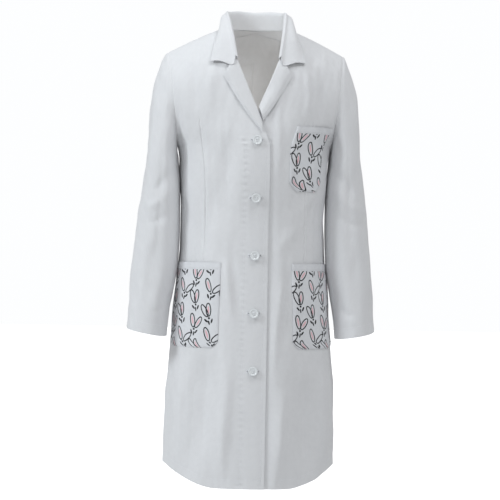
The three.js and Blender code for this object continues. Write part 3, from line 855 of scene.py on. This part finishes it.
def on_body(x, drop, lift, back=False):
    """A point of (x, drop) on the coat's form, raised off it."""
    x, drop = np.broadcast_arrays(np.asarray(x, float), np.asarray(drop, float))

    def at(px, pd):
        return body_form(angle_at(px, pd), pd, back)

    across, fall = at(x + 0.5, drop) - at(x - 0.5, drop), at(x, drop + 0.5) - at(x, drop - 0.5)
    out = unit(np.cross(across, fall) if back else np.cross(fall, across))
    return at(x, drop) + out * np.asarray(lift, float)[..., None]


def even_curve(points):
    """A curve through points that doesn't overshoot where they lie close. The first axis counts
    the points, and many curves may be made side by side."""
    p = np.array(points, float)
    p = np.concatenate([2 * p[:1] - p[1:2], p, 2 * p[-1:] - p[-2:-1]])
    step = np.maximum(np.linalg.norm(np.diff(p, axis=0), axis=-1, keepdims=True) ** 0.5, 1e-4)

    def at(share):
        share = np.asarray(share, float) * (len(p) - 3)
        i = np.clip(np.floor(share).astype(int), 0, len(p) - 4)
        t = (share - i).reshape(-1, *[1] * (p.ndim - 1))
        a, b, c, d = p[i], p[i + 1], p[i + 2], p[i + 3]
        d0, d1, d2 = step[i], step[i + 1], step[i + 2]
        leave = ((b - a) / d0 - (c - a) / (d0 + d1) + (c - b) / d1) * d1
        arrive = ((c - b) / d1 - (d - b) / (d1 + d2) + (d - c) / d2) * d1
        return cubic(b, c, leave, arrive, t)

    return at


def collar_line(place):
    half = [place(*station) for station in COLLAR_STATIONS]
    return even_curve(half + [p * (-1, 1, 1) for p in half[-2::-1]])


def seam_place(seam, up, out, edge):
    return on_body(seam[0], seam[1], 1.6, bool(seam[2]))


def roll_place(seam, up, out, edge):
    return on_body(seam[0], seam[1], 1.6 + out, bool(seam[2])) + (0, 0, up)


def edge_place(seam, up, out, edge):
    return on_body(edge[0], edge[1], 6, bool(seam[2]))


across_collar, over_collar = np.linspace(0, 1, 150), np.linspace(0, 1, 46)
seam_line, top_line, edge_line = (
    collar_line(place)(across_collar) for place in (seam_place, roll_place, edge_place)
)
away = unit((edge_line - seam_line) * (1, 1, 0))
drop_in = np.array([0, 0, COLLAR_ROLL])
belly = (top_line + edge_line) / 2 + away * COLLAR_BELLY + (0, 0, COLLAR_BELLY)
rising = top_line - away * COLLAR_ROLL - drop_in
falling = top_line + away * COLLAR_ROLL - drop_in
collar_net = even_curve([seam_line, rising, top_line, falling, belly, edge_line])(over_collar)
# Rows run from the seam over the roll to the edge, columns from the wearer's left to the right.
# The leading edges, from the roll to the tips, drop to the notches where the lapels begin.
to_end = np.minimum(across_collar, 1 - across_collar) / 0.09
fall_share = np.clip((over_collar - 0.42) / 0.58, 0, 1)[:, None]
dip = 15 * (1 - smooth(to_end))[None] ** 1.5 * np.sin(math.pi * fall_share**0.75) ** 1.2
collar_net = collar_net + dip[..., None] * np.array([0, -0.3, -1])
FACE = 1.15
upper_net = collar_net + facing_out(collar_net) * FACE
under_net = collar_net[:, ::-1] + facing_out(collar_net[:, ::-1]) * FACE
upper = sheet("collar_upper", upper_net, white_twill)
under = sheet("collar_under", under_net, white_twill)
collar_stitches = stitches(
    "stitches_collar",
    [
        line_on(upper_net, 4.5, axis=0, last=True, span=(0.02, 0.98)),
        line_on(upper_net, 4.5, span=(0.4, 0.95)),
        line_on(upper_net, 4.5, last=True, span=(0.4, 0.95)),
    ],
)
for piece, node, pieces_on in [
    (upper, "upper_collar", [collar_stitches]), (under, "under_collar", []),
]:
    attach(piece, "coat_body")
    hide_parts(node)

# Lapels. Each is the top of its front and the facing behind it, two layers of twill that roll
# over the front's edge and lie back on it.
ROLL_RADIUS = 2.3
LAPEL_LIFT = 4.2
LAPELS = {
    "right": (
        [(48, 75), (25, 132), (4, 182), (-10, 216)],
        [(73, 115), (47, 158), (21, 197), (-9, 234)],
    ),
    "left": (
        [(48, 75), (27, 128), (12, 162), (3, 183)],
        [(73, 115), (47, 158), (26, 191), (12, 210)],
    ),
}


def lapel_net(roll, outer, step_in):
    """Rows run down the lapel, columns from inside the front round the roll to the outer edge."""
    share = np.linspace(0, 1, 70)
    inner, edge = spline(roll)(share)[:, None], spline(outer)(share)[:, None]
    width = np.linalg.norm(edge - inner, axis=-1, keepdims=True)
    away = (edge - inner) / width
    turn = np.linspace(-math.pi / 2, math.pi / 2, 12)
    tail = np.linspace(6, 0.6, 5)
    out_share = np.linspace(0.02, 1, 46)
    along = np.concatenate(
        [
            np.broadcast_to(tail, (70, 5)),
            np.broadcast_to(-ROLL_RADIUS * np.cos(turn), (70, 12)),
            out_share * width[..., 0],
        ],
        axis=1,
    )
    arch = ROLL_RADIUS + 0.4 + (LAPEL_LIFT - 2) * np.sin(0.85 * math.pi * out_share) ** 0.8
    arch = arch - (ROLL_RADIUS - 0.9) * smooth((out_share - 0.7) / 0.3)
    lift = np.r_[np.full(5, -ROLL_RADIUS - 0.4), (ROLL_RADIUS + 0.4) * np.sin(turn), arch]
    places = inner + away * along[..., None]
    net = on_body(places[..., 0], places[..., 1], lift[None])
    net[..., 1] -= unevenness(net)
    if step_in:
        inside = np.r_[np.ones(17), 1 - smooth(out_share / 0.5)]
        net = stepped_in(net, inside[None])
    return net


for side, (roll, outer) in LAPELS.items():
    net = lapel_net(roll, outer, side == "left")
    if side == "right":
        net = mirrored(net)
    piece = sheet(f"lapel_{side}", net, white_twill, thickness=1.6)
    edge_last = side == "left"
    lines = stitches(
        f"stitches_{side}_lapel",
        [
            line_on(net, 4.5, last=edge_last, span=(0.04, 0.99)),
            line_on(net[:, 20:] if edge_last else net[:, :-20], 4.5, axis=0, span=(0.1, 0.9)),
        ],
    )
    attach(piece, "coat_body")
    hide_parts(f"{side}_lapel")

# Pockets. Three patch pockets of white cotton printed in black and pale pink, sewn on at three
# sides. The mouth is a plain folded band. The print is a generic one of leaves, dots and strokes.
POCKET_SEAT = 1.0
POCKET_GAPE = 2.4
BAND = 15
POCKETS = {
    "chest_pocket": (84, 220, 92, 138, 20, 1),
    "left_hip_pocket": (78, 512, 152, 181, 14, 1),
    "right_hip_pocket": (69, 512, 152, 181, 14, -1),
}
LEAF_INPUTS = {
    "X": 0, "Y": 0, "Centre X": 0, "Centre Y": 0, "Turn": 0, "Half width": 5, "Half length": 13,
    "Line": 1.8,
}
leaf, into, out = add_group(
    "printed leaf",
    [(socket, "NodeSocketFloat", value) for socket, value in LEAF_INPUTS.items()],
    [("Outline", "NodeSocketFloat"), ("Inside", "NodeSocketFloat")],
)
in_leaf = partial(maths, leaf)
at_x, at_y, centre_x, centre_y, turn, wide, long, line = into.outputs[: len(LEAF_INPUTS)]
shift_x, shift_y = in_leaf("SUBTRACT", at_x, centre_x), in_leaf("SUBTRACT", at_y, centre_y)
cosine, sine = in_leaf("COSINE", turn), in_leaf("SINE", turn)
turned_x = in_leaf("ADD", in_leaf("MULTIPLY", shift_x, cosine), in_leaf("MULTIPLY", shift_y, sine))
turned_y = in_leaf(
    "SUBTRACT", in_leaf("MULTIPLY", shift_y, cosine), in_leaf("MULTIPLY", shift_x, sine)
)


def size_of(a, b):
    return in_leaf("SQRT", in_leaf("ADD", in_leaf("MULTIPLY", a, a), in_leaf("MULTIPLY", b, b)))


# How far out in leaf sizes, over how fast that grows, gives an even distance from the leaf's edge.
far_x, far_y = in_leaf("DIVIDE", turned_x, wide), in_leaf("DIVIDE", turned_y, long)
far = size_of(far_x, far_y)
steep = size_of(in_leaf("DIVIDE", far_x, wide), in_leaf("DIVIDE", far_y, long))
spread = in_leaf("DIVIDE", far, in_leaf("MAXIMUM", steep, 0.001))
from_edge = in_leaf("MULTIPLY", in_leaf("SUBTRACT", far, 1.0), spread)
in_line = in_leaf("SUBTRACT", in_leaf("MULTIPLY", line, 0.5), in_leaf("ABSOLUTE", from_edge))
leaf.links.new(in_leaf("MULTIPLY", in_line, 4.0, clamp=True), out.inputs["Outline"])
leaf.links.new(in_leaf("MULTIPLY", from_edge, -4.0, clamp=True), out.inputs["Inside"])

# One repeat of the print, in millimetres: centre, turn, half width and half length of each mark.
REPEAT = (74, 104)
SPRIGS = [  # each sprig's foot, its lean, and how far its two leaves open
    (19, 12, 0.16, 0.26), (57, 36, -0.3, 0.62), (17, 64, -0.2, 0.42), (55, 88, 0.34, 0.24),
]
OUTLINES, PINK, MARKS = [], [], []
for number, (foot_x, foot_y, lean, opening) in enumerate(SPRIGS):
    for way, reach in ((1, 14.5), (-1, 13.5)):
        turn = lean + way * opening
        leaf_x = foot_x - math.sin(turn) * (reach + 6)
        leaf_y = foot_y + math.cos(turn) * (reach + 6)
        OUTLINES.append((leaf_x, leaf_y, turn, 5.5, reach))
        if (number + (way > 0)) % 3 != 1:
            PINK.append((leaf_x, leaf_y, turn, 2.3, reach - 5))
    for dot_x, dot_y, dot_turn, wide, long in [
        (0, 1.5, 0, 2.6, 2.6), (-6.5, -4, 0.6, 2.2, 5.4), (6.5, -4, -0.6, 2.2, 5.4),
        (0, -8, 0, 2.0, 5),
    ]:
        MARKS.append((foot_x + dot_x, foot_y + dot_y, dot_turn + lean, wide, long))


def repeated(places):
    """Marks that cross the edge of the repeat are drawn on both sides of it."""
    found = []
    for x, y, turn, wide, long in places:
        for shift_x in (-REPEAT[0], 0, REPEAT[0]):
            for shift_y in (-REPEAT[1], 0, REPEAT[1]):
                at_x, at_y = x + shift_x, y + shift_y
                if -long < at_x < REPEAT[0] + long and -long < at_y < REPEAT[1] + long:
                    found.append((at_x, at_y, turn, wide, long))
    return found


printed, tone = cloth_material("printed cotton", (0.80, 0.81, 0.83), (0.72, 0.73, 0.76))
tree = printed.node_tree
place = tree.nodes["UV Map"]
split = add_node(tree, "SeparateXYZ")
tree.links.new(place.outputs[0], split.inputs[0])
in_print = partial(maths, tree)
across_mm = in_print("MULTIPLY", split.outputs["X"], 1000)
down_mm = in_print("MULTIPLY", split.outputs["Y"], 1000)
tile_x = in_print("FLOORED_MODULO", across_mm, REPEAT[0])
tile_y = in_print("FLOORED_MODULO", down_mm, REPEAT[1])


def marks(places, line, output):
    """All marks of one kind, added together."""
    total = None
    for place in repeated(places):
        mark = add_node(tree, "Group")
        mark.node_tree = leaf
        tree.links.new(tile_x, mark.inputs["X"])
        tree.links.new(tile_y, mark.inputs["Y"])
        for socket, value in zip(mark.inputs[2:], (*place, line)):
            socket.default_value = value
        found = mark.outputs[output]
        total = found if total is None else in_print("MAXIMUM", total, found)
    return total


PRINTED_LINE = 2.8
below_band = in_print("MULTIPLY", in_print("SUBTRACT", -BAND, down_mm), 3, clamp=True)
pink = in_print("MULTIPLY", marks(PINK, 1.0, "Inside"), below_band)
drawn = in_print("MAXIMUM", marks(OUTLINES, PRINTED_LINE, "Outline"), marks(MARKS, 1.0, "Inside"))
black = in_print("MULTIPLY", drawn, below_band)
for ink, mask in [((0.82, 0.52, 0.56), pink), ((0.012, 0.012, 0.016), black)]:
    tone = mixed(tree, tone, ink, mask)
tree.links.new(tone, tree.nodes["Principled BSDF"].inputs["Base Color"])


def pocket_net(x, drop, width, height, corner):
    """Left-hand pocket: rows run down from the mouth, columns out from the inner edge."""
    u, v = np.linspace(0, 1, 60)[None], np.linspace(0, 1, 72)[:, None]
    places = drop + height * v
    cut = np.maximum(0, height * v - (height - corner)) ** 1.35 / corner**0.35
    radius = (half_width(places) + front_depth(places)) / 2
    along = cut + (width - 2 * cut) * u
    form = body_form(angle_at(x, drop) + along / radius, places)
    edge = np.minimum(np.minimum(u, 1 - u) * width, (1 - v) * height)
    lift = POCKET_SEAT + 0.9 + POCKET_GAPE * np.sin(math.pi * u) * (1 - v) ** 1.5
    lift = lift - 0.9 * hump(edge, 1.5) + 0.5 * hump(edge - 5, 4)
    lift = lift - 0.5 * hump(v * height - BAND, 1.5) + 0.3 * smooth((BAND - v * height) / 3)
    return form, lift


for name, (x, drop, width, height, corner, way) in POCKETS.items():
    form, lift = pocket_net(x, drop, width, height, corner)
    if way == -1:
        form, lift = mirrored(form), lift[:, ::-1]
    net = form + facing_out(form) * (unevenness(form) + lift)[..., None]
    piece = sheet(f"cloth_{name}", net, printed)
    lines = stitches(
        f"stitches_{name}",
        [
            line_on(net, 2.2), line_on(net, 2.2, last=True),
            line_on(net, 2.2, axis=0, last=True, span=(0.05, 0.95)),
            line_on(net, BAND - 1.5, axis=0, span=(0.02, 0.98)),
        ],
    )
    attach(piece, "coat_body")
    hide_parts(name)

# Buttonholes. White polyester thread, worked by machine in close zigzag stitches all round each
# slit of the right front, with a bar at both ends.
HOLE_HALF = 14
hole_lines = []
for drop in BUTTON_DROPS:
    for ring in (2.0, 2.5, 3.0):
        turn = np.linspace(0, 2 * math.pi, 90)
        straight = (HOLE_HALF - 2) * np.tanh(3 * np.cos(turn)) / np.tanh(3.0)
        x = straight + ring * 0.7 * np.cos(turn)
        z = drop + ring * 0.85 * np.clip(1.6 * np.sin(turn), -1, 1)
        hole_lines.append((on_body(x, z, 0.25), on_body(x, z, 1.25) - on_body(x, z, 0.25)))
stitches("buttonholes", hole_lines, pitch=1.5, length=1.9, width=0.75)

# Buttons. Five white polyester resin buttons with four holes, a rounded rim and a dished middle,
# turned from rod and polished. Each hangs on a thread shank and tilts a little.
BUTTON_RADIUS = 0.010
BUTTON_THICKNESS = 0.003
BUTTON_LIFT = 2.2
HOLE_PLACE = 0.0019
HOLE_RADIUS = 0.00105
resin, tree, shader = new_material("white button resin", (0.82, 0.84, 0.85), 0.24)
place = add_node(tree, "TexCoord")
cloud = add_node(tree, "TexNoise", Scale=160)
tree.links.new(place.outputs["Object"], cloud.inputs["Vector"])
swirl = mixed(tree, (0.74, 0.77, 0.79), (0.88, 0.90, 0.90), cloud.outputs["Fac"])
tree.links.new(swirl, shader.inputs["Base Color"])
rough = add_node(tree, "MapRange", To_Min=0.18, To_Max=0.34)
tree.links.new(cloud.outputs["Fac"], rough.inputs["Value"])
tree.links.new(rough.outputs["Result"], shader.inputs["Roughness"])
shader.inputs["Coat Weight"].default_value = 0.3
shader.inputs["Coat Roughness"].default_value = 0.15


def cylinder(vertices, radius, depth, place, **more):
    bpy.ops.object.select_all(action="DESELECT")
    bpy.ops.mesh.primitive_cylinder_add(
        vertices=vertices, radius=radius, depth=depth, location=place, **more
    )
    return bpy.context.object


button = cylinder(48, BUTTON_RADIUS, BUTTON_THICKNESS, (0, 0, BUTTON_THICKNESS / 2))
bpy.ops.object.transform_apply(location=True)
bpy.ops.object.mode_set(mode="EDIT")
bpy.ops.mesh.select_all(action="DESELECT")
bpy.ops.object.mode_set(mode="OBJECT")
for face in button.data.polygons:
    face.select = face.normal.z > 0.9
bpy.ops.object.mode_set(mode="EDIT")
bpy.ops.mesh.select_mode(type="FACE")
bpy.ops.mesh.inset(thickness=0.0028)
bpy.ops.mesh.inset(thickness=0.0009)
bpy.ops.transform.translate(value=(0, 0, -0.0009))
bpy.ops.mesh.inset(thickness=0.0006)
bpy.ops.object.mode_set(mode="OBJECT")
worked(
    button, "BEVEL", width=0.0008, segments=3, limit_method="ANGLE", angle_limit=math.radians(35)
)
holes = [(x, y) for x in (-HOLE_PLACE, HOLE_PLACE) for y in (-HOLE_PLACE, HOLE_PLACE)]
for x, y in holes:
    drill = cylinder(16, HOLE_RADIUS, 0.01, (x, y, 0))
    bpy.ops.object.transform_apply(location=True)
    worked(button, "BOOLEAN", object=drill, solver="EXACT")
    bpy.data.objects.remove(drill)
pick(button)
bpy.ops.object.shade_smooth_by_angle(angle=math.radians(35))
button.data.materials.append(resin)

# The thread of one button: two strands over its face, one down each hole, and the wound shank.
strands = []
for y in (HOLE_PLACE, -HOLE_PLACE):
    strands.append(cylinder(12, 0.5, 1, (0, y, 0.0026), rotation=(0, math.pi / 2, 0)))
    strands[-1].scale = (0.0014, 0.0011, 0.0052)
strands += [cylinder(12, 0.0006, 0.0034, (x, y, 0.0009)) for x, y in holes]
strands.append(cylinder(16, 0.0022, 0.0005, (0, 0, -0.0003)))
strands.append(cylinder(16, 0.0008, 0.0048, (0, 0, -0.0030)))
bpy.ops.object.select_all(action="DESELECT")
for strand in strands:
    strand.select_set(True)
bpy.context.view_layer.objects.active = strands[-1]
bpy.ops.object.join()
sewing = bpy.context.object
bpy.ops.object.transform_apply(location=True, rotation=True, scale=True)
worked(sewing, "BEVEL", width=0.00025, segments=2)
bpy.ops.object.shade_smooth_by_angle(angle=math.radians(40))
sewing.data.materials.append(white_thread)

for number, drop in enumerate(BUTTON_DROPS, 1):
    out = on_body(0, drop, 1) - on_body(0, drop, 0)
    for model, name, node, slot in [
        (button, "disc", "button", "button_resin"), (sewing, "sewing", "button_thread", "thread"),
    ]:
        copy = model.copy()
        copy.data = model.data.copy()
        copy.name = f"{name}_{number}"
        bpy.context.scene.collection.objects.link(copy)
        copy.location = on_body(0, drop, BUTTON_LIFT) * MM
        copy.rotation_euler = (math.atan2(-out[1], out[2]), 0, 0)
        pick(copy)
        bpy.ops.object.transform_apply(location=True, rotation=True)
        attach(copy, f"button_{number}")
        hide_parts(f"{node}_{number}")
bpy.data.objects.remove(button)
bpy.data.objects.remove(sewing)
